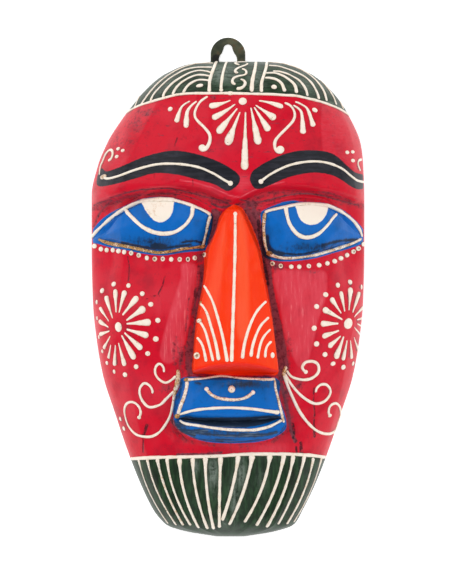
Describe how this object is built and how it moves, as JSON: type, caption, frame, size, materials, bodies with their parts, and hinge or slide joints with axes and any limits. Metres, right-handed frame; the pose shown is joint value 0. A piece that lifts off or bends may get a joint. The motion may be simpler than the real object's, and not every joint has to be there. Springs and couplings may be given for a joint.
{
  "type": "decorative wall mask",
  "caption": "Long carved and painted wooden face mask, hollow behind, with a keyhole plate at the crown for hanging on a wall.",
  "frame": {"origin": "under the middle of the whole, on the plane of the flat back that it lies on", "axes": "+X to the right of someone who looks at the face, +Y from the chin to the crown and the hanger, +Z out of the face"},
  "size_m": [0.175, 0.32, 0.077],
  "materials": {
    "painted_wood": "oil paint in red, orange, blue, green and black, antiqued in the cuts, glossy varnish",
    "bare_wood": "gouged and stained bare wood of the hollow back",
    "paint_paste": "cream relief paste under varnish, browned in places",
    "hanger_iron": "dark green-black lacquered sheet iron, brown where worn",
    "screw_steel": "dull steel with rust in the slot"
  },
  "bodies": {
    "root": {"wooden_mask": "painted_wood", "hanger_plate": "hanger_iron", "hanger_screw_1": "screw_steel", "hanger_screw_2": "screw_steel"}
  },
  "joints": []
}
